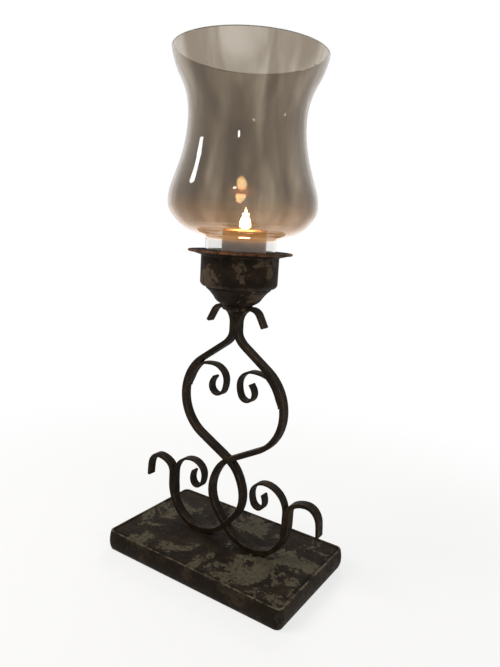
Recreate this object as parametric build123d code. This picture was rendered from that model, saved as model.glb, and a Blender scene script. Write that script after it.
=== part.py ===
from build123d import *
from math import atan2, cos, degrees, hypot, radians, sin, sqrt, tan
import os

# A standing candle lantern: a heavy moulded base, two mirrored scroll bars that
# cross twice and carry a spun cup, a candle in the cup and a glass shade round it.
# Millimetres. +Z is up, X runs along the base and the plane of the scrolls, and
# the origin is the middle of the table under the base.

# Base: a cast tray, open underneath
base_length = 206.0
base_depth = 126.0
base_corner_r = 7.6
base_top = 19.8
base_foot_gap = 0.8
base_wall = 3.6
base_undercut = 2.0
side_bulge_z = 9.6
bead_inset = 1.4
bead_width = 2.2
bead_height = 0.7
groove_width = 2.4
groove_depth = 0.7
rim_lap = 0.8
base_cove_r = 2.0
pad_r = 6.5
pad_t = 1.6
pad_inset = 17.0
pad_boss_r = 8.0

# Scroll bars: flat iron on edge, hammered thinner towards the hooks
bar_depth = 9.5
bar_t = 5.2
bar_edge_r = 0.9
foot_flat = 0.5
foot_x = 34.6
outer_hook_t = 4.2
top_hook_t = 3.6
hook_tip_t = 3.3
taper_lead = 12.0
bar_arc_step = 14.0

# Curls: thinner strip that starts along the inner side of a bar
strip_depth = 8.8
strip_t = 2.4
strip_edge_r = 0.4
scarf_t = 1.1
scarf_length = 9.0
strip_arc_step = 9.0
upper_curl_lap = 32.0
upper_curl_parting = 6.0
lower_curl_lap = 26.0

# Stations along a scroll: x, z and heading in degrees
hook_tip = (31.2, 241.2, 118.0)
hook_crown = (16.7, 257.0, 180.0)
neck_top_z = 242.0
neck_foot_z = 235.0
shoulder = (11.4, 220.8, 325.0)
loop_top = (37.4, 202.4, 325.0)
loop_side = (57.4, 163.5, 270.0)
loop_foot = (34.2, 124.2, 208.5)
upper_cross_in = (13.0, 112.7, 208.0)
upper_cross_out = (-10.8, 95.4, 237.0)
almond_side = (-18.5, 71.0, 270.0)
almond_foot = (-10.6, 49.3, 310.3)
lower_cross = (0.0, 36.8, 310.3)
lower_loop_side = (70.3, 62.0, 90.0)
outer_hook_root = (70.4, 72.0, 90.0)
outer_hook_crown = (88.6, 86.0, 0.0)
outer_hook_side = (101.2, 74.0, 278.0)
outer_hook_tip = (102.2, 61.0, 272.0)

# Stations along the curls, beyond the stretch that lies on the bar
upper_curl_stations = [
    (35.8, 197.2, 163.0), (24.0, 198.7, 180.0), (7.8, 184.0, 270.0),
    (17.2, 169.3, 0.0), (25.0, 177.4, 90.0), (20.8, 186.6, 128.0),
]
lower_curl_stations = [
    (44.4, 93.8, 180.0), (29.2, 80.0, 270.0), (37.6, 66.8, 0.0),
    (43.8, 74.4, 90.0), (42.0, 82.4, 112.0),
]

# Collar in the fork of the bars, bell, cup and drip pan
collar_r = 14.2
collar_rim = 5.0
collar_edge_r = 1.2
collar_shoulder = 3.0
collar_cone_r = 2.4
collar_cone_z = 246.0
bell_top_r = 30.6
bell_foot_z = 259.6
bell_foot_lap = 0.8
bell_seat_width = 2.0
bell_stations = [(27.2, 271.6, 226.0), (22.0, 265.0, 238.0)]
bell_foot_heading = 205.0
bell_wall = 1.4
cup_r = 36.0
cup_wall = 1.2
cup_floor_z = 277.0
cup_rim_z = 304.6
cup_corner_r = 4.8
well_r = 10.0
well_depth = 4.4
pan_r = 48.2
pan_t = 1.2
pan_rise = 2.8
pan_collar_depth = 5.0
pan_bead_r = 1.0
pan_seat_width = 1.0

# Glass shade: outer radius, height and heading
glass_t = 2.4
glass_foot_edge_r = 1.0
neck_r = 32.6
neck_end_z = 318.6
glass_stations = [
    (38.6, 322.6, 14.0), (57.6, 332.2, 43.0), (67.6, 350.5, 90.0), (60.6, 378.5, 109.5),
    (52.3, 424.0, 90.0), (60.2, 455.5, 61.0), (68.2, 478.0, 80.0),
]

# Candle
candle_r = 20.5
candle_h = 49.0
candle_x = 2.5
candle_y = 1.5
candle_edge_r = 1.6
melt_r = 17.6
melt_depth = 2.4
wick_r = 0.75
wick_above = 8.5
tab_r = 8.0
tab_t = 0.4
tab_tube_r = 1.5
tab_tube_h = 5.0

# Fasteners
base_screw_r = 2.0
base_screw_length = 12.0
base_screw_head_r = 3.9
base_screw_head_h = 2.8
base_washer_r = 5.0
base_washer_t = 0.9
screw_boss_r = 7.5
screw_boss_h = 4.0
base_thread_depth = 4.0
cup_screw_r = 2.5
cup_screw_length = 20.0
cup_screw_head_r = 4.6
cup_screw_head_h = 2.6
cup_washer_r = 7.0
cup_washer_t = 1.0
cup_thread_depth = 6.6
base_socket_r = 1.6
cup_socket_r = 1.9
socket_depth = 1.4

# Clearances
seat_gap = 0.1
screw_gap = 0.1
rest_gap = 0.3

os.makedirs("parts", exist_ok=True)


def turn(a, b):
    """Signed turn from heading a to heading b, in degrees."""
    return (b - a + 180.0) % 360.0 - 180.0


def unit(a):
    return cos(radians(a)), sin(radians(a))


def chord_heading(k0, k1):
    return degrees(atan2(k1[1] - k0[1], k1[0] - k0[0]))


def join(k0, k1):
    """Stations after k0 up to k1, with a biarc's joint where one arc won't do."""
    chord = chord_heading(k0, k1)
    if abs(turn(k0[2], chord) - turn(chord, k1[2])) < 1e-4:
        return [k1]
    (t0x, t0z), (t1x, t1z) = unit(k0[2]), unit(k1[2])
    vx, vz = k1[0] - k0[0], k1[1] - k0[1]
    vt = vx * (t0x + t1x) + vz * (t0z + t1z)
    bend = 2.0 * (1.0 - (t0x * t1x + t0z * t1z))
    vv = vx * vx + vz * vz
    if bend < 1e-9:
        d = vv / (2.0 * vt)
    else:
        d = (-vt + sqrt(vt * vt + bend * vv)) / bend
    mx = (k0[0] + k1[0] + d * (t0x - t1x)) / 2.0
    mz = (k0[1] + k1[1] + d * (t0z - t1z)) / 2.0
    mid = (mx, mz, 2.0 * chord_heading(k0, (mx, mz)) - k0[2])
    return [mid, k1]


def tangent_path(stations):
    """Stations such that each neighbouring pair is joined by one arc or line."""
    path = [stations[0]]
    for k in stations[1:]:
        path += join(path[-1], k)
    return path


def arc_length(k0, k1):
    half = radians(turn(k0[2], k1[2])) / 2.0
    chord = hypot(k1[0] - k0[0], k1[1] - k0[1])
    return chord if abs(half) < 1e-6 else chord * half / sin(half)


def arc_middle(k0, k1):
    half = radians(turn(k0[2], k1[2])) / 2.0
    dx, dz = k1[0] - k0[0], k1[1] - k0[1]
    rise = tan(half / 2.0) / 2.0
    return (k0[0] + k1[0]) / 2.0 + dz * rise, (k0[1] + k1[1]) / 2.0 - dx * rise


def station_within(k0, k1, share):
    """The station at a share of the arc or line from k0 to k1."""
    total = turn(k0[2], k1[2])
    if abs(total) < 0.01:
        return (k0[0] + (k1[0] - k0[0]) * share, k0[1] + (k1[1] - k0[1]) * share, k0[2])
    heading = k0[2] + total * share
    radius = arc_length(k0, k1) / radians(total)
    (sx, sz), (ex, ez) = unit(k0[2]), unit(heading)
    return k0[0] + radius * (ez - sz), k0[1] - radius * (ex - sx), heading


def subdivide(path, longest):
    """The same arcs and lines cut into pieces no longer than a length."""
    fine = [path[0]]
    for k0, k1 in zip(path[:-1], path[1:]):
        pieces = int(arc_length(k0, k1) / longest) + 1
        fine += [station_within(k0, k1, i / pieces) for i in range(1, pieces)] + [k1]
    return fine


def distance_to(path, station):
    """Distance along the path to one of its stations."""
    s = 0.0
    for k0, k1 in zip(path[:-1], path[1:]):
        if hypot(k0[0] - station[0], k0[1] - station[1]) < 1e-6:
            return s
        s += arc_length(k0, k1)
    return s


def stretch(path, start, end):
    """The part of a path between two distances along it."""
    out = []
    s = 0.0
    for k0, k1 in zip(path[:-1], path[1:]):
        length = arc_length(k0, k1)
        if not out and s <= start < s + length:
            out.append(station_within(k0, k1, (start - s) / length))
        if out and s + length >= end:
            out.append(station_within(k0, k1, (end - s) / length))
            return out
        if out:
            out.append(k1)
        s += length
    return out


def backwards(path):
    return [(x, z, heading + 180.0) for x, z, heading in reversed(path)]


def shifted(k, distance, lean=0.0):
    """A station moved to the left of its heading by a distance."""
    ux, uz = unit(k[2])
    return k[0] - uz * distance, k[1] + ux * distance, k[2] + lean


def bulge(inset, rise):
    """Middle of an arc that starts upright and leans in by inset over its rise."""
    r = (inset ** 2 + rise ** 2) / (2.0 * inset)
    half = atan2(rise, r - inset) / 2.0
    return r * (1.0 - cos(half)), r * sin(half)


def edges_along(stations, y=0.0):
    """Lines and arcs through the stations, in the upright plane at y."""
    edges = []
    for k0, k1 in zip(stations[:-1], stations[1:]):
        a, b = (k0[0], y, k0[1]), (k1[0], y, k1[1])
        if abs(turn(k0[2], k1[2])) < 0.01:
            edges.append(Line(a, b))
        else:
            mx, mz = arc_middle(k0, k1)
            edges.append(ThreePointArc(a, (mx, y, mz), b))
    return edges


def eased(values):
    """Width and its slope at a distance, smooth between the given values."""
    def at(s):
        for (s0, w0), (s1, w1) in zip(values[:-1], values[1:]):
            if s <= s1:
                u = max(0.0, min(1.0, (s - s0) / (s1 - s0)))
                slope = 6.0 * u * (1.0 - u) * (w1 - w0) / (s1 - s0)
                return w0 + (w1 - w0) * u * u * (3.0 - 2.0 * u), slope
        return values[-1][1], 0.0
    return at


def ribbon_outlines(path, left_at, right_at):
    """The two long sides of a flat bar whose widths follow left_at and right_at."""
    left, right = [], []
    s = 0.0
    for i, k in enumerate(path):
        if i:
            s += arc_length(path[i - 1], k)
        width, slope = left_at(s)
        left.append(shifted(k, width, degrees(atan2(slope, 1.0))))
        width, slope = right_at(s)
        right.append(shifted(k, -width, -degrees(atan2(slope, 1.0))))
    return tangent_path(left), tangent_path(right)


def ribbon(path, left_at, right_at, depth, edge_r):
    """Flat bar on edge along a path, with its long edges rounded."""
    y = -depth / 2.0
    left, right = ribbon_outlines(path, left_at, right_at)
    caps = [Line((a[0], y, a[1]), (b[0], y, b[1]))
            for a, b in ((left[0], right[0]), (left[-1], right[-1]))]
    face = make_face(edges_along(left, y) + edges_along(right, y) + caps)
    bar = extrude(face, amount=depth, dir=(0, 1, 0))
    if edge_r <= 0.0:
        return bar
    middles = [cap.center() for cap in caps]

    def is_long_edge(edge):
        c = edge.center()
        near_cap = any(hypot(c.X - m.X, c.Z - m.Z) < 1e-3 for m in middles)
        return abs(abs(c.Y) - depth / 2.0) < 1e-6 and not near_cap
    return fillet([e for e in bar.edges() if is_long_edge(e)], edge_r)


def mirrored(piece):
    return mirror(piece, about=Plane.YZ)


def scroll_path():
    """Centre line of the right-hand scroll, from the cup's hook to the outer hook."""
    neck_x = (bar_t + seat_gap) / 2.0
    foot_z = base_top - foot_flat + bar_t / 2.0
    return tangent_path([
        hook_tip, hook_crown, (neck_x, neck_top_z, 270.0), (neck_x, neck_foot_z, 270.0),
        shoulder, loop_top, loop_side, loop_foot, upper_cross_in, upper_cross_out,
        almond_side, almond_foot, lower_cross, (foot_x, foot_z, 0.0), lower_loop_side,
        outer_hook_root, outer_hook_crown, outer_hook_side, outer_hook_tip,
    ])


def scroll_widths(path, extra):
    """Half thickness along the scroll; extra is added on each side."""
    neck = ((bar_t + seat_gap) / 2.0, neck_top_z)
    stations = [
        (0.0, hook_tip_t),
        (distance_to(path, hook_crown), top_hook_t),
        (distance_to(path, neck), bar_t),
        (distance_to(path, outer_hook_root) - taper_lead, bar_t),
        (distance_to(path, outer_hook_crown), outer_hook_t),
        (distance_to(path, outer_hook_tip), hook_tip_t),
    ]
    return eased([(s, t / 2.0 + extra) for s, t in stations])


def scroll_blank(extra=0.0, depth=bar_depth, edge_r=bar_edge_r):
    """Right-hand scroll before its laps are cut; extra makes it a cutting tool."""
    path = scroll_path()
    width_at = scroll_widths(path, extra)
    return ribbon(subdivide(path, bar_arc_step), width_at, width_at, depth, edge_r)


def scroll_bars():
    """Both scrolls, halved into each other where they cross, flat at their feet."""
    right = scroll_blank()
    tool = scroll_blank(extra=seat_gap, edge_r=0.0)
    reach = 4.0 * bar_depth
    crossings_top = neck_foot_z - 3.0 * bar_t
    front = Pos(0, (seat_gap - reach) / 2.0, crossings_top / 2.0) * Box(
        4.0 * outer_hook_tip[0], reach, crossings_top)
    back = mirror(front, about=Plane.XZ)
    below = Pos(foot_x, 0, base_top - bar_t) * Box(foot_x, reach, 2.0 * bar_t)
    hole = Pos(foot_x, 0, base_top + base_thread_depth / 2.0) * Cylinder(
        base_screw_r + screw_gap, base_thread_depth)
    right = right - below - hole
    left = mirrored(right)
    right = right - (mirrored(tool) & front)
    left = left - (tool & back)
    return left, right


def curl(lap, stations, side):
    """Curled strip: its first stretch follows lap, and side says which side it's on."""
    offset = side * (bar_t / 2.0 + seat_gap + strip_t / 2.0)
    path = [shifted(k, offset) for k in lap] + stations
    path = subdivide(tangent_path(path), strip_arc_step)
    full = eased([(0.0, strip_t / 2.0), (1.0, strip_t / 2.0)])
    scarf = eased([(0.0, scarf_t - strip_t / 2.0), (scarf_length, strip_t / 2.0)])
    left_at, right_at = (scarf, full) if side > 0 else (full, scarf)
    return ribbon(path, left_at, right_at, strip_depth, strip_edge_r)


def upper_curl():
    path = scroll_path()
    parting = distance_to(path, loop_top) + upper_curl_parting
    lap = backwards(stretch(path, parting, parting + upper_curl_lap))
    return curl(lap, upper_curl_stations, 1)


def lower_curl():
    path = scroll_path()
    parting = distance_to(path, outer_hook_root)
    lap = stretch(path, parting - lower_curl_lap, parting)
    return curl(lap, lower_curl_stations, 1)


def rounded_plate(inset, z0, z1):
    """Plate of the base's plan shape, drawn in by an inset."""
    outline = RectangleRounded(base_length - 2.0 * inset, base_depth - 2.0 * inset,
                               base_corner_r - inset)
    return extrude(Pos(0, 0, z0) * outline, amount=z1 - z0)


def base_rim():
    """Moulded edge of the base: bulged side, bead and groove, swept all round."""
    half = base_length / 2.0
    bead_in = bead_inset + bead_width
    field = bead_in + groove_width
    under = base_top - base_wall

    low_in, low_drop = bulge(base_undercut, side_bulge_z - base_foot_gap)
    high_in, high_rise = bulge(bead_inset, base_top - side_bulge_z)
    cove = base_cove_r * (1.0 - sqrt(0.5))

    def at(inset, z):
        return (half - inset, 0, z)
    profile = [
        ThreePointArc(at(base_undercut, base_foot_gap), at(low_in, side_bulge_z - low_drop),
                      at(0, side_bulge_z)),
        ThreePointArc(at(0, side_bulge_z), at(high_in, side_bulge_z + high_rise),
                      at(bead_inset, base_top)),
        ThreePointArc(at(bead_inset, base_top),
                      at(bead_inset + bead_width / 2.0, base_top + bead_height),
                      at(bead_in, base_top)),
        ThreePointArc(at(bead_in, base_top),
                      at(bead_in + groove_width / 2.0, base_top - groove_depth),
                      at(field, base_top)),
        Line(at(field, base_top), at(field + rim_lap, base_top)),
        Line(at(field + rim_lap, base_top), at(field + rim_lap, under)),
        Line(at(field + rim_lap, under), at(base_wall + base_cove_r, under)),
        ThreePointArc(at(base_wall + base_cove_r, under),
                      at(base_wall + cove, under - cove),
                      at(base_wall, under - base_cove_r)),
        Line(at(base_wall, under - base_cove_r), at(base_wall + base_undercut, base_foot_gap)),
        Line(at(base_wall + base_undercut, base_foot_gap), at(base_undercut, base_foot_gap)),
    ]
    outline = RectangleRounded(base_length, base_depth, base_corner_r)
    return sweep(make_face(profile), path=outline.wire()), field


def pad_places():
    x, y = base_length / 2.0 - pad_inset, base_depth / 2.0 - pad_inset
    return [(sx * x, sy * y) for sx in (-1, 1) for sy in (-1, 1)]


def upright(r, z0, z1, x=0.0, y=0.0):
    return Pos(x, y, (z0 + z1) / 2.0) * Cylinder(r, z1 - z0)


def base_plinth():
    rim_ring, field = base_rim()
    under = base_top - base_wall
    body = rim_ring + rounded_plate(field, under, base_top)
    for x, y in pad_places():
        body += upright(pad_boss_r, pad_t, under + base_wall / 2.0, x, y)
    for x in (-foot_x, foot_x):
        body += upright(screw_boss_r, under - screw_boss_h, under + base_wall / 2.0, x)
    for x in (-foot_x, foot_x):
        body -= upright(base_screw_r + screw_gap, 0, 2.0 * base_top, x)
    return body


def group(solids):
    return Compound(children=list(solids))


def felt_pads():
    return group(upright(pad_r, 0, pad_t, x, y) for x, y in pad_places())


def pan_head_screw(r, length, head_r, head_h, socket_r):
    """Screw with its head's seat at z = 0, its head above and its shank below."""
    head = upright(head_r, 0, head_h)
    head = fillet(head.edges().group_by(Axis.Z)[-1], head_h * 0.45)
    socket = Pos(0, 0, head_h - socket_depth) * extrude(
        RegularPolygon(socket_r, 6), amount=socket_depth)
    shank = upright(r, -length, 0)
    shank = chamfer(shank.edges().group_by(Axis.Z)[0], r * 0.25)
    return head + shank - socket


def washer(outer_r, hole_r, t):
    return upright(outer_r, 0, t) - upright(hole_r, 0, t)


def base_fasteners():
    """Screws and washers that draw the scrolls' feet onto the base from below."""
    seat = base_top - base_wall - screw_boss_h
    screws, washers = [], []
    for x in (-foot_x, foot_x):
        ring = washer(base_washer_r, base_screw_r + screw_gap, base_washer_t)
        washers.append(Pos(x, 0, seat - base_washer_t) * ring)
        screw = pan_head_screw(base_screw_r, base_screw_length, base_screw_head_r,
                               base_screw_head_h, base_socket_r)
        screws.append(Pos(x, 0, seat - base_washer_t) * Rot(180, 0, 0) * screw)
    return group(screws), group(washers)


def turned(edges):
    """Solid of revolution about the Z axis from a closed profile in the XZ plane."""
    return revolve(make_face(edges), axis=Axis.Z, revolution_arc=360)


def polyline_edges(points):
    closed = points + points[:1]
    return [Line((a[0], 0, a[1]), (b[0], 0, b[1])) for a, b in zip(closed, closed[1:])]


def fork_collar():
    """Turned collar whose cone fills the fork and whose rim straddles both bars."""
    rim_z = bell_foot_z - collar_rim
    cone = turned(polyline_edges([
        (0, collar_cone_z), (collar_cone_r, collar_cone_z),
        (collar_r - collar_shoulder, rim_z), (collar_r, rim_z), (collar_r, bell_foot_z), (0, bell_foot_z),
    ]))
    rim_edges = [e for e in cone.edges().filter_by(GeomType.CIRCLE)
                 if abs(e.radius - collar_r) < 1e-6]
    cone = fillet(rim_edges, collar_edge_r)
    tool = scroll_blank(extra=seat_gap, depth=bar_depth + 2.0 * seat_gap, edge_r=0.0)
    cone = cone - tool - mirrored(tool)
    cone = max(cone.solids(), key=lambda s: s.volume)
    return cone - upright(cup_screw_r + screw_gap, bell_foot_z - cup_thread_depth, bell_foot_z)


def bell_profile():
    """Outer line of the bell, from under the cup down to the collar."""
    top = cup_floor_z - cup_wall
    return tangent_path([
        (bell_top_r, top, 270.0), *bell_stations,
        (collar_r + bell_foot_lap, bell_foot_z, bell_foot_heading),
    ])


def cup_bell():
    """Spun bell between the cup and the collar, open at the top."""
    outer = bell_profile()
    inner = tangent_path([shifted(k, -bell_wall) for k in outer])
    top = cup_floor_z - cup_wall
    hole = cup_screw_r + screw_gap
    floor_z = bell_foot_z + bell_wall
    inner = [k for k in inner if k[1] > floor_z + bell_wall]
    edges = edges_along(outer) + edges_along(inner)
    seat = (inner[-1][0] - bell_seat_width, floor_z)
    loop = [outer[-1], (hole, bell_foot_z), (hole, floor_z), seat, inner[-1]]
    edges += [Line((a[0], 0, a[1]), (b[0], 0, b[1])) for a, b in zip(loop, loop[1:])]
    edges.append(Line((outer[0][0], 0, top), (inner[0][0], 0, inner[0][1])))
    return turned(edges)


def candle_cup():
    """Spun cup with a rounded corner and a well in its floor for the screw's head."""
    outer = turned(polyline_edges([
        (0, cup_floor_z - cup_wall), (cup_r, cup_floor_z - cup_wall),
        (cup_r, cup_rim_z), (0, cup_rim_z),
    ]))
    outer = fillet(outer.edges().group_by(Axis.Z)[0], cup_corner_r)
    inner = upright(cup_r - cup_wall, cup_floor_z, cup_rim_z)
    inner = fillet(inner.edges().group_by(Axis.Z)[0], cup_corner_r - cup_wall)
    well_z = cup_floor_z - well_depth
    well = upright(well_r + cup_wall, well_z - cup_wall, cup_floor_z - cup_wall / 2.0)
    well_hollow = upright(well_r, well_z, cup_floor_z + cup_wall)
    hole = upright(cup_screw_r + screw_gap, well_z - cup_wall, cup_floor_z)
    return outer - inner + well - well_hollow - hole


def drip_pan():
    """Dished pan on the cup's rim, with a collar down inside it and a rolled edge."""
    fit_r = cup_r - cup_wall - seat_gap
    z = cup_rim_z
    ring = turned(polyline_edges([
        (fit_r - pan_t, z - pan_collar_depth), (fit_r, z - pan_collar_depth), (fit_r, z),
        (cup_r + pan_seat_width, z), (pan_r - pan_bead_r, z + pan_rise),
        (pan_r - pan_bead_r, z + pan_rise + pan_t), (cup_r + pan_seat_width, z + pan_t),
        (fit_r - pan_t, z + pan_t),
    ]))
    bead_z = z + pan_rise + pan_t / 2.0
    bead = Pos(0, 0, bead_z) * Torus(pan_r - pan_bead_r, pan_bead_r)
    return ring + bead


def glass_shade():
    """Blown shade: straight neck in the cup, round belly, waist and flared mouth."""
    foot = cup_floor_z + rest_gap
    outer = tangent_path([(neck_r, foot, 90.0), (neck_r, neck_end_z, 90.0)] + glass_stations)
    inner = tangent_path([shifted(k, glass_t) for k in outer])
    lip_out, lip_in = outer[-1], inner[-1]
    ux, uz = unit(lip_out[2])
    lip_x = (lip_out[0] + lip_in[0]) / 2.0 + ux * glass_t * 0.4
    lip_z = (lip_out[1] + lip_in[1]) / 2.0 + uz * glass_t * 0.4
    edges = edges_along(outer) + edges_along(inner)
    edges.append(ThreePointArc((lip_out[0], 0, lip_out[1]), (lip_x, 0, lip_z),
                               (lip_in[0], 0, lip_in[1])))
    edges.append(Line((outer[0][0], 0, foot), (inner[0][0], 0, foot)))
    shade = turned(edges)
    return fillet(shade.edges().group_by(Axis.Z)[0], glass_foot_edge_r)


def candle_wax():
    """Candle with a dished pool at its top and a bore for its wick."""
    foot = cup_floor_z + rest_gap
    top = foot + candle_h
    wax = upright(candle_r, foot, top)
    wax = fillet(wax.edges().group_by(Axis.Z)[-1], candle_edge_r)
    dish_r = (melt_r ** 2 + melt_depth ** 2) / (2.0 * melt_depth)
    wax -= Pos(0, 0, top - melt_depth + dish_r) * Sphere(dish_r)
    wax -= upright(wick_r + screw_gap, foot, top)
    wax -= upright(tab_tube_r + screw_gap, foot, foot + tab_t + tab_tube_h + screw_gap)
    wax -= upright(tab_r + screw_gap, foot, foot + tab_t + screw_gap)
    return Pos(candle_x, candle_y, 0) * wax


def wick():
    foot = cup_floor_z + rest_gap + tab_t
    top = cup_floor_z + rest_gap + candle_h - melt_depth + wick_above
    stem = upright(wick_r, foot, top)
    return Pos(candle_x, candle_y, 0) * fillet(stem.edges().group_by(Axis.Z)[-1], wick_r * 0.6)


def wick_tab():
    """Pressed foot of the wick, with a short tube crimped round it."""
    foot = cup_floor_z + rest_gap
    tab = upright(tab_r, foot, foot + tab_t)
    tube = upright(tab_tube_r, foot, foot + tab_t + tab_tube_h)
    bore = upright(wick_r, foot + tab_t, foot + tab_t + tab_tube_h)
    return Pos(candle_x, candle_y, 0) * (tab + tube - bore)


def cup_fasteners():
    """Screw and washer in the cup's well, down through the bell into the collar."""
    seat = cup_floor_z - well_depth
    ring = washer(cup_washer_r, cup_screw_r + screw_gap, cup_washer_t)
    screw = pan_head_screw(cup_screw_r, cup_screw_length, cup_screw_head_r,
                           cup_screw_head_h, cup_socket_r)
    return Pos(0, 0, seat + cup_washer_t) * screw, Pos(0, 0, seat) * ring


scroll_left, scroll_right = scroll_bars()
curl_up = upper_curl()
curl_low = lower_curl()
base_screws, base_washers = base_fasteners()
cup_screw, cup_washer = cup_fasteners()

nodes = {
    "base_plinth": base_plinth(),
    "felt_pads": felt_pads(),
    "base_screws": base_screws,
    "base_washers": base_washers,
    "scroll_bar_left": scroll_left,
    "scroll_bar_right": scroll_right,
    "upper_curl_left": mirrored(curl_up),
    "upper_curl_right": curl_up,
    "lower_curl_left": mirrored(curl_low),
    "lower_curl_right": curl_low,
    "fork_collar": fork_collar(),
    "cup_bell": cup_bell(),
    "candle_cup": candle_cup(),
    "drip_pan": drip_pan(),
    "cup_screw": cup_screw,
    "cup_washer": cup_washer,
    "glass_shade": glass_shade(),
    "candle_wax": candle_wax(),
    "wick": wick(),
    "wick_tab": wick_tab(),
}
for name, piece in nodes.items():
    export_step(piece, f"parts/{name}.step")
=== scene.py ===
from math import cos, pi, radians, sin, sqrt

import bmesh
import bpy
from mathutils import Matrix, Vector


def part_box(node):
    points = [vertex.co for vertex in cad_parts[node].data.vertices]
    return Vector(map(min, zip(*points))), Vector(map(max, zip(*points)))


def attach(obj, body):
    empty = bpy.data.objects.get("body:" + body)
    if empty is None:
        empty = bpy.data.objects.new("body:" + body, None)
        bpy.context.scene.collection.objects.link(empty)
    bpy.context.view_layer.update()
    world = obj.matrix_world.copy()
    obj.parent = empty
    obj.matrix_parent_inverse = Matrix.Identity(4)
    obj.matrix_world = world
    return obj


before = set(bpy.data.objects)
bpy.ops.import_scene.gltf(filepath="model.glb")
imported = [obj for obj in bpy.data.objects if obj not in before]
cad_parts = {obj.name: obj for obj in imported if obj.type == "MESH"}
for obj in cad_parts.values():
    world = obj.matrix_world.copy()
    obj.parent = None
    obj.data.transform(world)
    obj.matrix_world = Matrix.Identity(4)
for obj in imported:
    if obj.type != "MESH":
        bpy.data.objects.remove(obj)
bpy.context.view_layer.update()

# The storm lantern's looks: finishes for every CAD part, the melted wax and the
# flame, a pale studio and the photograph's camera. Metres throughout.

MM = 0.001

# The photograph's camera, worked out from the base's corners and the glass's rims;
# its angles are in degrees
CAMERA_PLACE = Vector((297.1, -434.1, 331.0)) * MM
CAMERA_YAW = -32.96
CAMERA_PITCH = 10.60
CAMERA_ROLL = -3.36
FOCAL_PX = 567.4
PHOTO_HEIGHT_PX = 667
SENSOR_MM = 36.0

# Finishes, as linear colours
BLACK = (0.0, 0.0, 0.0)
WHITE = (1.0, 1.0, 1.0)
IRON_DARK = (0.0095, 0.0065, 0.0040)
IRON_BROWN = (0.023, 0.0145, 0.0085)
IRON_WORN = (0.095, 0.074, 0.050)
RIDGE_WORN = (0.165, 0.138, 0.095)
KHAKI_PATCH = (0.082, 0.070, 0.046)
BROWN_PATCH = (0.070, 0.050, 0.033)
COPPER_EDGE = (0.240, 0.095, 0.045)
WAX_IVORY = (0.30, 0.185, 0.110)
WAX_AMBER = (0.20, 0.110, 0.058)
WICK_CHAR = (0.012, 0.010, 0.009)
WICK_SINGED = (0.06, 0.04, 0.03)
WICK_EMBER = (1.0, 0.25, 0.05)
FLAME_ROOT = (0.90, 0.30, 0.08)
FLAME_BODY = (1.0, 0.80, 0.46)
FLAME_TIP = (1.0, 0.42, 0.10)
FLAME_LIGHT = (1.0, 0.48, 0.16)
GLASS_CLEAR = (0.88, 0.87, 0.85)
GLASS_SMOKY = (0.265, 0.215, 0.158)
GLASS_THIN = (0.520, 0.462, 0.385)
TAB_STEEL = (0.55, 0.54, 0.52)
SCREW_STEEL = (0.16, 0.15, 0.14)
FELT_DARK = (0.035, 0.032, 0.030)
FELT_LIGHT = (0.11, 0.10, 0.09)
FLOOR_WHITE = (0.88, 0.88, 0.875)
SURROUND_WHITE = (1.0, 0.98, 0.95)

# How strongly things glow; the glows of the wax, the melted wax and the glass are painted flame light
FLAME_GLOW = 60.0
MELT_PAINTED_GLOW = 9.0
WAX_PAINTED_GLOW = 2.6
EMBER_GLOW = 3.0
GLASS_PAINTED_GLOW = 0.10
SURROUND_GLOW = 0.36

# Where a rubbed edge begins and where it is fully bare, as distances from the top
# of the base's bead, the ground, the cup's rim, its lower corner and the pan's rim
BEAD_RUBBED = (0.65 * MM, 0.1 * MM)
FOOT_RUBBED = (3.4 * MM, 1.0 * MM)
CUP_RIM_RUBBED = (1.6 * MM, 0.2 * MM)
CUP_CORNER_RUBBED = (2.2 * MM, 0.2 * MM)
PAN_RIM_RUBBED = (2.6 * MM, 0.5 * MM)
CUP_CORNER_BELOW_RIM = 27.0 * MM

# How fine each texture is, in noise cells per metre
BASE_PATCHES = 26.0
CUP_PATCHES = 55.0
BELL_PATCHES = 60.0
MOTTLING = 75.0
HAMMER_MARKS = 95.0
RUBBING = 110.0
IRON_GRAIN = 240.0
IRON_SPECKLE = 900.0
GLASS_WAVES = 22.0
GLASS_STREAKS = 34.0
GLASS_HAZE = 60.0
WAX_CLOUDS = 70.0
WAX_SKIN = 160.0
WICK_FIBRES = 900.0
FLAME_FLICKER = 120.0
TAB_SPOTS = 300.0
SCREW_SPOTS = 500.0
FELT_FIBRES = 1500.0

# How fast the sines turn along the wick and outwards over turned steel, in radians
# per metre
WICK_TWIST = 9000.0
TURNING_MARKS = 14000.0

# Heights in the glass: the clear neck above the drip pan, the fade to the smoky
# bowl, and the reach of the painted warm glow that stands in for the flame's light
CLEAR_NECK = 9.0 * MM
SMOKE_FADE = 16.0 * MM
PAINTED_GLOW_REACH = 46.0 * MM
STREAKS_PER_HEIGHT = 0.16

# Melted pool and flame, and how far the painted glow on the wax reaches
WAX_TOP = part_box("candle_wax")[1][2]
WAX_MIDDLE = (Vector(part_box("candle_wax")[0]) + Vector(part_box("candle_wax")[1])) / 2
WICK_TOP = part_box("wick")[1][2]
DISH_RADIUS = 17.6 * MM
DISH_DEPTH = 2.4 * MM
POOL_BELOW_RIM = 0.8 * MM
POOL_GAP = 0.03 * MM
POOL_EDGE_ROUND = 0.5 * MM
CLIMB_REACH = 2.2 * MM
CLIMB_TOP_RADIUS = 0.9 * MM
CLIMB_HEIGHT = 0.5 * MM
POOL_PAINTED_GLOW_REACH = 19.0 * MM
WAX_PAINTED_GLOW_REACH = 25.0 * MM
GLOW_FULL_WITHIN = 2.0 * MM
EMBER_LENGTH = 2.5 * MM
FLAME_OVER_POOL = 0.4 * MM
FLAME_HEIGHT = 22.0 * MM
FLAME_RADIUS = 5.8 * MM
FLAME_LOW_BELLY = 0.58
FLAME_POINT = 0.25

# The ground's size, and how its shadow fades away from the lantern
FLOOR_REACH = 12.0
SHADOW_FROM = 0.20
SHADOW_TO = 0.60
FLOOR_LEFT_WHITE = 0.72


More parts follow.
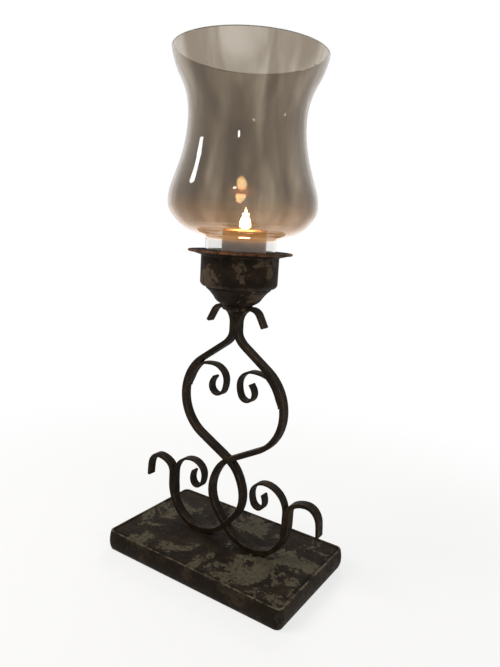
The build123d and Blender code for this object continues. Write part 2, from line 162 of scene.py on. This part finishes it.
def new_material(name):
    """A material, its node tree and its shader."""
    material = bpy.data.materials.new(name)
    material.use_nodes = True
    return material, material.node_tree, material.node_tree.nodes["Principled BSDF"]


def put(tree, socket, value):
    """Sets a socket to a number or colour, or links another socket to it."""
    if isinstance(value, bpy.types.NodeSocket):
        tree.links.new(value, socket)
    elif isinstance(value, tuple) and len(value) == 3 and len(socket.default_value) == 4:
        socket.default_value = (*value, 1.0)
    else:
        socket.default_value = value


def coordinates(tree):
    """Object coordinates, their X, Y and Z, and the object's own normal."""
    source = tree.nodes.new("ShaderNodeTexCoord")
    return source.outputs["Object"], axes(tree, source.outputs["Object"]), source.outputs["Normal"]


def axes(tree, vector):
    """The X, Y and Z of a vector."""
    split = tree.nodes.new("ShaderNodeSeparateXYZ")
    tree.links.new(vector, split.inputs[0])
    return split.outputs


def maths(tree, operation, a, b=0.0):
    """One sum, product or other operation on two numbers."""
    node = tree.nodes.new("ShaderNodeMath")
    node.operation = operation
    put(tree, node.inputs[0], a)
    put(tree, node.inputs[1], b)
    return node.outputs[0]


def span(tree, value, low, high, to_low=0.0, to_high=1.0):
    """A smooth step from to_low to to_high as value goes from low to high."""
    node = tree.nodes.new("ShaderNodeMapRange")
    node.interpolation_type = "SMOOTHSTEP"
    for socket, number in zip(node.inputs, (value, low, high, to_low, to_high)):
        put(tree, socket, number)
    return node.outputs[0]


def mixed(tree, share, a, b):
    """Colour a where share is 0, and colour b where it is 1."""
    node = tree.nodes.new("ShaderNodeMix")
    node.data_type = "RGBA"
    put(tree, node.inputs[0], share)
    put(tree, node.inputs[6], a)
    put(tree, node.inputs[7], b)
    return node.outputs[2]


def noise(tree, place, scale, detail=5.0, roughness=0.6, distortion=0.0):
    """Cloudy noise from 0 to 1 with its middle at 0.5."""
    node = tree.nodes.new("ShaderNodeTexNoise")
    put(tree, node.inputs["Vector"], place)
    node.inputs["Scale"].default_value = scale
    node.inputs["Detail"].default_value = detail
    node.inputs["Roughness"].default_value = roughness
    node.inputs["Distortion"].default_value = distortion
    return node.outputs[0]


def bump(tree, shader, heights):
    """Chains bumps onto a shader's normal: (height, strength, distance) for each."""
    normal = None
    for height, strength, distance in heights:
        node = tree.nodes.new("ShaderNodeBump")
        node.inputs["Strength"].default_value = strength
        node.inputs["Distance"].default_value = distance
        put(tree, node.inputs["Height"], height)
        if normal:
            put(tree, node.inputs["Normal"], normal)
        normal = node.outputs[0]
    put(tree, shader.inputs["Normal"], normal)


def glow(tree, shader, share, colour, strength):
    """Makes a shader give off a colour's light where share is above 0."""
    put(tree, shader.inputs["Emission Color"], mixed(tree, share, BLACK, colour))
    shader.inputs["Emission Strength"].default_value = strength


def radius_of(tree, xyz):
    """Distance from the lantern's vertical axis."""
    squares = [maths(tree, "MULTIPLY", xyz[i], xyz[i]) for i in (0, 1)]
    return maths(tree, "SQRT", maths(tree, "ADD", *squares))


def rounded_edge_mask(tree, xyz, normal):
    """High on the rounded long edges of a bar whose faces look along Y."""
    lean = maths(tree, "ABSOLUTE", axes(tree, normal)[1])
    slope = maths(tree, "MULTIPLY", lean, maths(tree, "SUBTRACT", 1.0, lean))
    return span(tree, slope, low=0.04, high=0.22)


def base_edge_mask(tree, xyz, normal):
    """High on the crest of the base's bead and low down on its bulged side."""
    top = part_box("base_plinth")[1][2]
    crest = span(tree, xyz[2], top - BEAD_RUBBED[0], top - BEAD_RUBBED[1])
    foot = span(tree, xyz[2], *FOOT_RUBBED, to_high=0.5)
    return maths(tree, "MAXIMUM", crest, foot)


def cup_edge_mask(tree, xyz, normal):
    """High at the cup's rim and at its rounded lower corner."""
    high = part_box("candle_cup")[1][2]
    rim = span(tree, xyz[2], high - CUP_RIM_RUBBED[0], high - CUP_RIM_RUBBED[1])
    above_corner = maths(tree, "SUBTRACT", xyz[2], high - CUP_CORNER_BELOW_RIM)
    corner = span(tree, maths(tree, "ABSOLUTE", above_corner), *CUP_CORNER_RUBBED, to_high=0.55)
    return maths(tree, "MAXIMUM", rim, corner)


def pan_edge_mask(tree, xyz, normal):
    """High on the drip pan's rolled rim."""
    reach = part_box("drip_pan")[1][0]
    return span(tree, radius_of(tree, xyz), reach - PAN_RIM_RUBBED[0], reach - PAN_RIM_RUBBED[1])


def no_mask(tree, xyz, normal):
    """For pieces whose edges aren't rubbed."""
    return 0.0


def patina(name, edge_mask, worn=IRON_WORN, patch=KHAKI_PATCH, patches=0.0,
           patch_scale=BASE_PATCHES, hammer=0.4, top_only=False):
    """Dark waxed iron: brown mottling, paler patches or dust, and rubbed edges."""
    material, tree, shader = new_material(name)
    place, xyz, normal = coordinates(tree)
    broad = noise(tree, place, patch_scale, detail=7.0, roughness=0.68, distortion=0.5)
    grain = noise(tree, place, IRON_GRAIN, detail=6.0, roughness=0.7)
    speckle = noise(tree, place, IRON_SPECKLE, detail=3.0)
    mottled = noise(tree, place, MOTTLING, roughness=0.65)
    colour = mixed(tree, span(tree, mottled, 0.40, 0.68), IRON_DARK, IRON_BROWN)
    if patches:
        ruffle = maths(tree, "MULTIPLY", maths(tree, "SUBTRACT", grain, 0.5), 0.35)
        edge = 0.60 - 0.07 * patches
        cover = span(tree, maths(tree, "ADD", broad, ruffle), edge, edge + 0.03)
        flaked = maths(tree, "MULTIPLY", cover, span(tree, grain, 0.30, 0.60, to_low=0.35))
        if top_only:
            facing_up = span(tree, axes(tree, normal)[2], 0.2, 0.9, to_low=0.22)
            flaked = maths(tree, "MULTIPLY", flaked, facing_up)
        colour = mixed(tree, flaked, colour, patch)
    else:
        dusty = span(tree, broad, 0.52, 0.72, to_high=0.35)
        colour = mixed(tree, maths(tree, "MULTIPLY", dusty, grain), colour, patch)
    rubbed = span(tree, noise(tree, place, RUBBING, roughness=0.7), 0.38, 0.66)
    wear = maths(tree, "MULTIPLY", edge_mask(tree, xyz, normal), rubbed)
    colour = mixed(tree, maths(tree, "MULTIPLY", wear, 0.75), colour, worn)
    put(tree, shader.inputs["Base Color"], colour)
    rough = span(tree, grain, 0.3, 0.7, to_low=0.50, to_high=0.76)
    polish = maths(tree, "MULTIPLY", wear, 0.14)
    put(tree, shader.inputs["Roughness"], maths(tree, "SUBTRACT", rough, polish))
    shader.inputs["Metallic"].default_value = 0.1
    shader.inputs["Specular IOR Level"].default_value = 0.07
    bump(tree, shader, [
        (noise(tree, place, HAMMER_MARKS, detail=2.0, roughness=0.4), hammer, 1.1 * MM),
        (grain, 0.45, 0.35 * MM),
        (speckle, 0.30, 0.10 * MM),
    ])
    return material


def shade_glass():
    """Blown glass: smoky in the bowl, clearer in the neck, faint waves, painted warm glow low in the bowl.
    """
    material, tree, shader = new_material("shade_glass")
    place, (_, _, z), _ = coordinates(tree)
    neck_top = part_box("drip_pan")[1][2] + CLEAR_NECK
    drawn = tree.nodes.new("ShaderNodeMapping")
    drawn.inputs["Scale"].default_value = (1.0, 1.0, STREAKS_PER_HEIGHT)
    put(tree, drawn.inputs["Vector"], place)
    streaks = noise(tree, drawn.outputs[0], GLASS_STREAKS, detail=3.0, roughness=0.55, distortion=0.6)
    smoke = mixed(tree, span(tree, streaks, 0.35, 0.68), GLASS_SMOKY, GLASS_THIN)
    smoky = span(tree, z, neck_top, neck_top + SMOKE_FADE)
    put(tree, shader.inputs["Base Color"], mixed(tree, smoky, GLASS_CLEAR, smoke))
    # Painted light: a faint warm glow on the glass from the top of the neck up into the bowl, in place of
    # the flame's light
    below_glow_top = span(tree, z, neck_top + PAINTED_GLOW_REACH, neck_top + 2.0 * MM)
    above_glow_foot = span(tree, z, neck_top - 2.0 * MM, neck_top + 4.0 * MM)
    glow(tree, shader, maths(tree, "MULTIPLY", below_glow_top, above_glow_foot), FLAME_LIGHT, GLASS_PAINTED_GLOW)
    shader.inputs["Transmission Weight"].default_value = 1.0
    shader.inputs["IOR"].default_value = 1.47
    haze = noise(tree, place, GLASS_HAZE, detail=4.0)
    put(tree, shader.inputs["Roughness"], span(tree, haze, 0.4, 0.8, to_high=0.03))
    waves = noise(tree, place, GLASS_WAVES, detail=1.0, roughness=0.3)
    bump(tree, shader, [(streaks, 0.10, 1.0 * MM), (waves, 0.05, 1.0 * MM)])
    return material


def candle_wax(name, glow_reach, glow_strength, smoothest, roughest):
    """Ivory wax, with the flame's light from above painted on as a glow round its top."""
    material, tree, shader = new_material(name)
    place, _, _ = coordinates(tree)
    # Painted light: the wax gives off the flame's colour, fading out with distance from the middle of its
    # top
    away = tree.nodes.new("ShaderNodeVectorMath")
    away.operation = "DISTANCE"
    put(tree, away.inputs[0], place)
    away.inputs[1].default_value = (WAX_MIDDLE.x, WAX_MIDDLE.y, WAX_TOP)
    painted_glow_share = span(tree, away.outputs["Value"], glow_reach, GLOW_FULL_WITHIN)
    glow(tree, shader, painted_glow_share, FLAME_LIGHT, glow_strength)
    cloudy = span(tree, noise(tree, place, WAX_CLOUDS, detail=4.0), 0.3, 0.75)
    put(tree, shader.inputs["Base Color"], mixed(tree, cloudy, WAX_IVORY, WAX_AMBER))
    put(tree, shader.inputs["Roughness"], span(tree, cloudy, 0.0, 1.0, smoothest, roughest))
    shader.inputs["Subsurface Weight"].default_value = 0.5
    shader.inputs["Subsurface Radius"].default_value = (0.010, 0.005, 0.002)
    bump(tree, shader, [(noise(tree, place, WAX_SKIN, detail=3.0), 0.15, 0.3 * MM)])
    return material


def charred_wick():
    """Black twisted cotton that glows near its tip."""
    material, tree, shader = new_material("wick_cotton")
    place, (_, _, z), _ = coordinates(tree)
    singed = span(tree, noise(tree, place, WICK_FIBRES), 0.3, 0.7)
    put(tree, shader.inputs["Base Color"], mixed(tree, singed, WICK_CHAR, WICK_SINGED))
    glow(tree, shader, span(tree, z, WICK_TOP - EMBER_LENGTH, WICK_TOP), WICK_EMBER, EMBER_GLOW)
    shader.inputs["Roughness"].default_value = 0.9
    twist = maths(tree, "SINE", maths(tree, "MULTIPLY", z, WICK_TWIST))
    bump(tree, shader, [(twist, 0.5, 0.15 * MM)])
    return material


def flame_light(low, high):
    """Light from an orange root through a pale yellow body to an orange tip."""
    material, tree, shader = new_material("flame_light")
    place, (_, _, z), _ = coordinates(tree)
    height = span(tree, z, low, high)
    body = mixed(tree, span(tree, height, 0.02, 0.30), FLAME_ROOT, FLAME_BODY)
    flicker = span(tree, noise(tree, place, FLAME_FLICKER, detail=2.0), 0.3, 0.8, to_high=0.15)
    tip = span(tree, maths(tree, "ADD", height, flicker), 0.70, 1.10)
    colour = mixed(tree, tip, body, FLAME_TIP)
    put(tree, shader.inputs["Base Color"], colour)
    put(tree, shader.inputs["Emission Color"], colour)
    shader.inputs["Emission Strength"].default_value = FLAME_GLOW
    shader.inputs["Roughness"].default_value = 1.0
    return material


def steel(name, colour, spot_scale):
    """Plain fastener steel with fine turning marks and dull spots."""
    material, tree, shader = new_material(name)
    place, xyz, _ = coordinates(tree)
    spots = span(tree, noise(tree, place, spot_scale, roughness=0.7), 0.35, 0.7)
    dull = tuple(0.45 * value for value in colour)
    put(tree, shader.inputs["Base Color"], mixed(tree, spots, colour, dull))
    put(tree, shader.inputs["Roughness"], span(tree, spots, 0.0, 1.0, to_low=0.28, to_high=0.55))
    shader.inputs["Metallic"].default_value = 1.0
    rings = maths(tree, "SINE", maths(tree, "MULTIPLY", radius_of(tree, xyz), TURNING_MARKS))
    bump(tree, shader, [(rings, 0.12, 0.05 * MM)])
    return material


def felt():
    """Dark pressed felt."""
    material, tree, shader = new_material("felt")
    place, _, _ = coordinates(tree)
    fibres = noise(tree, place, FELT_FIBRES, detail=4.0, roughness=0.8, distortion=1.5)
    put(tree, shader.inputs["Base Color"], mixed(tree, span(tree, fibres, 0.35, 0.7), FELT_DARK, FELT_LIGHT))
    shader.inputs["Roughness"].default_value = 0.95
    shader.inputs["Sheen Weight"].default_value = 0.4
    bump(tree, shader, [(fibres, 0.6, 0.3 * MM)])
    return material


def finish_nodes(material, *names):
    """Gives CAD nodes a material through their objects' slots."""
    for name in names:
        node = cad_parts[name]
        if not node.material_slots:
            node.data.materials.append(material)
        for material_slot in node.material_slots:
            material_slot.material = material


def placed_mesh(name, form, material):
    """Turns a finished form into an object of the scene."""
    mesh = bpy.data.meshes.new(name)
    form.to_mesh(mesh)
    form.free()
    mesh.materials.append(material)
    piece = bpy.data.objects.new(name, mesh)
    bpy.context.scene.collection.objects.link(piece)
    return piece


def turned_piece(name, profile, middle, material, segments=64):
    """Closed surface of revolution about a vertical axis; profile is (radius, z)
    from pole to pole."""
    form = bmesh.new()
    angles = [2 * pi * i / segments for i in range(segments)]
    rings = []
    for r, z in profile:
        turns = angles if r > 0 else angles[:1]
        rings.append([form.verts.new((middle.x + r * cos(a), middle.y + r * sin(a), z)) for a in turns])
    for low, high in zip(rings, rings[1:]):
        for i in range(segments):
            j = (i + 1) % segments
            corners = [low[i % len(low)], low[j % len(low)], high[j % len(high)], high[i % len(high)]]
            form.faces.new(list(dict.fromkeys(corners)))
    bmesh.ops.recalc_face_normals(form, faces=form.faces)
    piece = placed_mesh(name, form, material)
    for face in piece.data.polygons:
        face.use_smooth = True
    return piece


def melt_pool():
    """Clear melted wax that fills the dish to just under its rim and climbs the wick."""
    dish = (DISH_RADIUS ** 2 + DISH_DEPTH ** 2) / (2 * DISH_DEPTH)
    surface = WAX_TOP - POOL_BELOW_RIM
    centre = WAX_TOP - DISH_DEPTH + dish
    reach = sqrt(dish ** 2 - (centre - surface) ** 2)
    steps = 8
    profile = []
    for i in range(steps):
        r = reach * i / steps
        profile.append((r, centre - sqrt(dish ** 2 - r ** 2) + POOL_GAP))
    profile.append((reach, surface - POOL_GAP))
    profile.append((reach - POOL_EDGE_ROUND, surface))
    profile.append((CLIMB_REACH, surface))
    profile.append((CLIMB_TOP_RADIUS, surface + CLIMB_HEIGHT))
    profile.append((0.0, surface + CLIMB_HEIGHT))
    # The melted wax carries a painted glow of the flame's light, strongest by the wick
    wax = candle_wax("melted_wax", POOL_PAINTED_GLOW_REACH, MELT_PAINTED_GLOW, 0.08, 0.2)
    piece = turned_piece("melt_pool", profile, WAX_MIDDLE, wax)
    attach(piece, "candle")


def flame():
    """Teardrop flame round the top of the wick."""
    low = WAX_TOP - POOL_BELOW_RIM + FLAME_OVER_POOL
    high = low + FLAME_HEIGHT
    steps = 26
    profile = [(0.0, low)]
    for i in range(1, steps):
        t = i / steps
        swell = sin(pi * t ** FLAME_LOW_BELLY) * (1.0 - t) ** FLAME_POINT
        profile.append((FLAME_RADIUS * swell, low + FLAME_HEIGHT * t))
    profile.append((0.0, high))
    piece = turned_piece("flame", profile, WAX_MIDDLE, flame_light(low, high), segments=32)
    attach(piece, "candle")


def dress_parts():
    """Gives every CAD node its finish."""
    finish_nodes(patina("wrought_iron", rounded_edge_mask, hammer=0.55),
                 "scroll_bar_left", "scroll_bar_right", "upper_curl_left", "upper_curl_right",
                 "lower_curl_left", "lower_curl_right")
    finish_nodes(patina("base_iron", base_edge_mask, RIDGE_WORN, patches=0.8, hammer=0.35,
                        top_only=True), "base_plinth")
    finish_nodes(patina("cup_iron", cup_edge_mask, patch=BROWN_PATCH, patches=1.0,
                        patch_scale=CUP_PATCHES, hammer=0.25), "candle_cup")
    finish_nodes(patina("bell_iron", no_mask, patch=BROWN_PATCH, patches=0.6,
                        patch_scale=BELL_PATCHES, hammer=0.25), "cup_bell", "fork_collar")
    finish_nodes(patina("pan_iron", pan_edge_mask, COPPER_EDGE, patches=0.2, hammer=0.2), "drip_pan")
    finish_nodes(shade_glass(), "glass_shade")
    finish_nodes(candle_wax("candle_wax", WAX_PAINTED_GLOW_REACH, WAX_PAINTED_GLOW, 0.36, 0.52), "candle_wax")
    finish_nodes(charred_wick(), "wick")
    finish_nodes(steel("tab_steel", TAB_STEEL, TAB_SPOTS), "wick_tab")
    finish_nodes(steel("screw_steel", SCREW_STEEL, SCREW_SPOTS),
                 "base_screws", "base_washers", "cup_screw", "cup_washer")
    finish_nodes(felt(), "felt_pads")


def directly_seen(tree):
    """1 for a ray from the camera, a mirror or a lens, and 0 for any other."""
    ray = tree.nodes.new("ShaderNodeLightPath")
    seen = maths(tree, "MAXIMUM", ray.outputs["Is Camera Ray"], ray.outputs["Is Glossy Ray"])
    return maths(tree, "MAXIMUM", seen, ray.outputs["Is Transmission Ray"])


def join_shaders(tree, share, a, b, output):
    """Shader a where share is 0 and shader b where it is 1, into the named output."""
    joined = tree.nodes.new("ShaderNodeMixShader")
    put(tree, joined.inputs[0], share)
    tree.links.new(a.outputs[0], joined.inputs[1])
    tree.links.new(b.outputs[0], joined.inputs[2])
    tree.links.new(joined.outputs[0], tree.nodes[output].inputs[0])


def floor():
    """Plain white ground that keeps the shadow near the lantern and fades far off."""
    material, tree, shader = new_material("floor_white")
    _, xyz, _ = coordinates(tree)
    left_white = span(tree, radius_of(tree, xyz), SHADOW_FROM, SHADOW_TO, to_low=FLOOR_LEFT_WHITE)
    put(tree, shader.inputs["Base Color"], FLOOR_WHITE)
    shader.inputs["Roughness"].default_value = 0.9
    shader.inputs["Specular IOR Level"].default_value = 0.1
    white = tree.nodes.new("ShaderNodeEmission")
    put(tree, white.inputs["Color"], WHITE)
    share = maths(tree, "MULTIPLY", directly_seen(tree), left_white)
    join_shaders(tree, share, shader, white, "Material Output")
    form = bmesh.new()
    signs = ((-1, -1), (1, -1), (1, 1), (-1, 1))
    form.faces.new([form.verts.new((FLOOR_REACH * x, FLOOR_REACH * y, 0.0)) for x, y in signs])
    ground = placed_mesh("floor", form, material)


def lamp(name, place, aim, size, power, colour=WHITE, mirrored=False):
    """Round lamp that faces a point and shows in reflections only if mirrored."""
    light = bpy.data.lights.new(name, "AREA")
    light.shape = "DISK"
    light.size = size
    light.energy = power
    light.color = colour
    holder = bpy.data.objects.new(name, light)
    holder.location = place
    holder.rotation_euler = (Vector(aim) - Vector(place)).to_track_quat("-Z", "Y").to_euler()
    holder.visible_camera = False
    holder.visible_transmission = False
    holder.visible_glossy = mirrored
    bpy.context.scene.collection.objects.link(holder)


def studio():
    """Soft key from the upper left, weaker lamps round it, and a white surround."""
    middle = (0.0, 0.0, 0.24)
    lamp("key", (-0.60, -0.75, 1.00), middle, size=0.60, power=8.0, colour=(1.0, 0.96, 0.90))
    lamp("fill", (1.00, -0.20, 0.60), middle, size=0.80, power=3.0, colour=(1.0, 0.98, 0.95))
    lamp("back", (-0.30, 0.85, 0.75), middle, size=0.50, power=3.5)
    lamp("window", (-0.70, -0.45, 0.80), middle, size=0.14, power=0.9, mirrored=True)
    lamp("spot", (0.35, -0.95, 0.90), middle, size=0.07, power=0.4, mirrored=True)
    world = bpy.data.worlds.new("surround")
    bpy.context.scene.world = world
    world.use_nodes = True
    tree = world.node_tree
    soft = tree.nodes["Background"]
    put(tree, soft.inputs["Color"], SURROUND_WHITE)
    soft.inputs["Strength"].default_value = SURROUND_GLOW
    white = tree.nodes.new("ShaderNodeBackground")
    put(tree, white.inputs["Color"], WHITE)
    join_shaders(tree, directly_seen(tree), soft, white, "World Output")


def photograph_camera():
    """The camera where the photograph was taken from, with its slight roll."""
    yaw, pitch, roll = radians(CAMERA_YAW), radians(CAMERA_PITCH), radians(CAMERA_ROLL)
    ahead = Vector((sin(yaw) * cos(pitch), cos(yaw) * cos(pitch), -sin(pitch)))
    level = Vector((cos(yaw), -sin(yaw), 0.0))
    down = ahead.cross(level)
    right = cos(roll) * level + sin(roll) * down
    up = sin(roll) * level - cos(roll) * down
    data = bpy.data.cameras.new("photograph")
    data.sensor_width = SENSOR_MM
    data.lens = FOCAL_PX / PHOTO_HEIGHT_PX * SENSOR_MM
    data.clip_start = 0.01
    data.clip_end = 60.0
    camera = bpy.data.objects.new("photograph", data)
    turn = Matrix((right, up, -ahead)).transposed().to_4x4()
    camera.matrix_world = Matrix.Translation(CAMERA_PLACE) @ turn
    bpy.context.scene.collection.objects.link(camera)
    bpy.context.scene.camera = camera


dress_parts()
melt_pool()
flame()
floor()
studio()
photograph_camera()
bpy.context.scene.view_settings.view_transform = "Standard"
